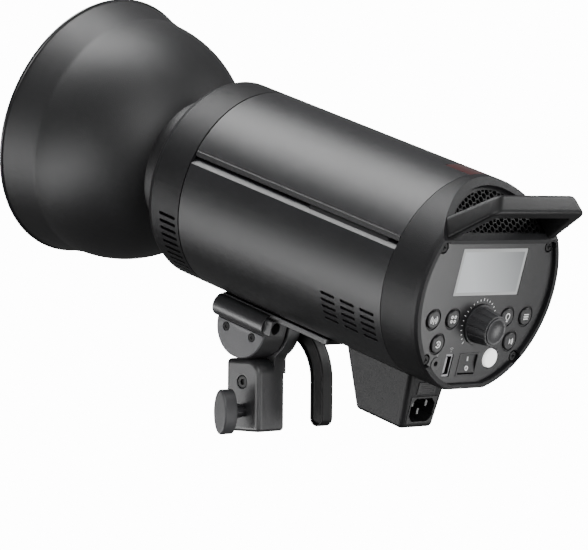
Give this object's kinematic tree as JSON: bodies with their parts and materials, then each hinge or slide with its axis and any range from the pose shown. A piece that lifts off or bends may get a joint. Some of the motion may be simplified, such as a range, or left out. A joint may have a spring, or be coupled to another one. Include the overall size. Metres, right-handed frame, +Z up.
{
  "type": "monolight strobe",
  "caption": "Studio flash head with bowl reflector, rear control panel, sloping carry handle and mains inlet, on a tilting stand bracket with lock knob and tilt lever.",
  "frame": {"origin": "centre of the stand socket's mouth", "axes": "+Z up along the socket, reflector towards -Y, control panel towards +Y, operator's left is +X; the head rests tilted 17 degrees reflector up"},
  "size_m": [0.19, 0.4328, 0.3044],
  "materials": {
    "cast_metal": "dark satin casting paint",
    "cover_metal": "grey satin",
    "steel": "turned steel",
    "bright_screw": "bright screws",
    "black_screw": "blackened screws",
    "friction_plastic": "matte",
    "knob_plastic": "satin moulded",
    "barrel_paint": "satin black",
    "collar_plastic": "fine moulded texture",
    "rail_plastic": "matte black",
    "panel_plastic": "semi-gloss dark grey",
    "display_glass": "light grey display, switched off",
    "display_back": "display module",
    "sensor_red": "dark red translucent",
    "button_plastic": "soft-touch grey",
    "test_white": "milky white",
    "dial_plastic": "fluted black",
    "dial_cap": "concave cap with pale rim",
    "switch_plastic": "black",
    "socket_metal": "nickel plated",
    "board": "circuit board",
    "board_part": "components",
    "chassis_metal": "sheet",
    "fan_plastic": "matte black",
    "ring_metal": "dark anodised",
    "dome_glass": "frosted glass",
    "tube_glass": "clear glass",
    "ceramic": "ceramic",
    "reflector_paint": "matte dark grey outside"
  },
  "bodies": {
    "stand": {"stand_bracket": "cast_metal", "socket_screw": "bright_screw", "friction_disc": "friction_plastic", "lever_washer": "steel", "tilt_bolt": "steel"},
    "lock_slide": {"lock_pad": "friction_plastic"},
    "lock_screw": {"lock_screw": "steel", "lock_knob": "knob_plastic"},
    "lever": {"tilt_lever": "cast_metal", "lever_cap": "cover_metal"},
    "reflector": {"reflector": "reflector_paint"},
    "latch": {"release_latch": "collar_plastic"},
    "fan": {"fan_rotor": "fan_plastic"},
    "dial_push": {"dial_shaft": "steel"},
    "dial": {"dial_knob": "dial_plastic", "dial_cap": "dial_cap"},
    "rocker": {"power_rocker": "switch_plastic"},
    "drawer": {"fuse_drawer": "switch_plastic", "fuse": "tube_glass"},
    "wireless_button": {"wireless_button": "button_plastic"},
    "group_button": {"group_button": "button_plastic"},
    "slave_button": {"slave_button": "button_plastic"},
    "lamp_button": {"lamp_button": "button_plastic"},
    "function_button": {"function_button": "button_plastic"},
    "sound_button": {"sound_button": "button_plastic"},
    "test_button": {"test_button": "test_white"},
    "head": {"tilt_bracket": "cast_metal", "hinge_cover": "cover_metal", "cover_screws": "bright_screw", "panel_screws": "black_screw", "bracket_screws": "black_screw", "barrel_shell": "barrel_paint", "front_collar": "collar_plastic", "rear_collar": "collar_plastic", "carry_handle": "collar_plastic", "inlet_housing": "collar_plastic", "rail_left": "rail_plastic", "rail_right": "rail_plastic", "vent_grille": "rail_plastic", "control_panel": "panel_plastic", "display_lens": "display_glass", "display_module": "display_back", "sensor_window": "sensor_red", "rocker_frame": "switch_plastic", "power_inlet": "switch_plastic", "usb_port": "socket_metal", "sync_jack": "socket_metal", "inlet_pins": "socket_metal", "control_board": "board", "main_board": "board", "dial_encoder": "board_part", "flash_capacitors": "board_part", "chassis": "chassis_metal", "lamp_base": "chassis_metal", "fan_housing": "fan_plastic", "bayonet_ring": "ring_metal", "glass_dome": "dome_glass", "flash_tube": "tube_glass", "modelling_lamp": "tube_glass", "lamp_socket": "ceramic"}
  },
  "joints": [
    {"name": "head_tilt", "type": "hinge", "parent": "stand", "child": "head", "pos_m": [0, 0.0047, 0.0735], "axis": [-1, 0, 0], "range_deg": [-72, 16]},
    {"name": "lever_turn", "type": "hinge", "parent": "stand", "child": "lever", "pos_m": [0, 0.0047, 0.0735], "axis": [-1, 0, 0], "range_deg": [0, 50]},
    {"name": "lock_travel", "type": "slide", "parent": "stand", "child": "lock_slide", "axis": [1, 0, 0], "range_m": [-0.0005, 0.003]},
    {"name": "lock_turn", "type": "hinge", "parent": "lock_slide", "child": "lock_screw", "pos_m": [0.02, 0, 0.0145], "axis": [1, 0, 0], "range_deg": [-120.5, 720.5]},
    {"name": "reflector_twist", "type": "hinge", "parent": "head", "child": "reflector", "pos_m": [0, -0.03293, 0.17514], "axis": [0, -0.9563, 0.2924], "range_deg": [0, 25]},
    {"name": "latch_slide", "type": "slide", "parent": "head", "child": "latch", "axis": [0, -0.9563, 0.2924], "range_m": [0, 0.004], "stiffness_N_per_m": 300, "springref_m": -0.003},
    {"name": "fan_spin", "type": "hinge", "parent": "head", "child": "fan", "pos_m": [0, 0.15143, 0.1146], "axis": [0, 0.9563, -0.2924], "continuous": true},
    {"name": "dial_press", "type": "slide", "parent": "head", "child": "dial_push", "axis": [0, -0.9563, 0.2924], "range_m": [0, 0.0005], "stiffness_N_per_m": 800, "springref_m": -0.0015},
    {"name": "dial_turn", "type": "hinge", "parent": "dial_push", "child": "dial", "pos_m": [0, 0.19937, 0.07986], "axis": [0, 0.9563, -0.2924], "continuous": true},
    {"name": "rocker_turn", "type": "hinge", "parent": "head", "child": "rocker", "pos_m": [0.001, 0.18401, 0.05528], "axis": [1, 0, 0], "range_deg": [-14, 0]},
    {"name": "drawer_slide", "type": "slide", "parent": "head", "child": "drawer", "axis": [0, 0.9563, -0.2924], "range_m": [0, 0.015]},
    {"name": "wireless_button_press", "type": "slide", "parent": "head", "child": "wireless_button", "axis": [0, -0.9563, 0.2924], "range_m": [0, 0.0008], "stiffness_N_per_m": 400, "springref_m": -0.0015},
    {"name": "group_button_press", "type": "slide", "parent": "head", "child": "group_button", "axis": [0, -0.9563, 0.2924], "range_m": [0, 0.0008], "stiffness_N_per_m": 400, "springref_m": -0.0015},
    {"name": "slave_button_press", "type": "slide", "parent": "head", "child": "slave_button", "axis": [0, -0.9563, 0.2924], "range_m": [0, 0.0008], "stiffness_N_per_m": 400, "springref_m": -0.0015},
    {"name": "lamp_button_press", "type": "slide", "parent": "head", "child": "lamp_button", "axis": [0, -0.9563, 0.2924], "range_m": [0, 0.0008], "stiffness_N_per_m": 400, "springref_m": -0.0015},
    {"name": "function_button_press", "type": "slide", "parent": "head", "child": "function_button", "axis": [0, -0.9563, 0.2924], "range_m": [0, 0.0008], "stiffness_N_per_m": 400, "springref_m": -0.0015},
    {"name": "sound_button_press", "type": "slide", "parent": "head", "child": "sound_button", "axis": [0, -0.9563, 0.2924], "range_m": [0, 0.0008], "stiffness_N_per_m": 400, "springref_m": -0.0015},
    {"name": "test_button_press", "type": "slide", "parent": "head", "child": "test_button", "axis": [0, -0.9563, 0.2924], "range_m": [0, 0.0008], "stiffness_N_per_m": 400, "springref_m": -0.0015}
  ],
  "couplings": [
    {"joint": "lock_turn", "follows": "lock_travel", "rad_per_m": 4188.8}
  ]
}
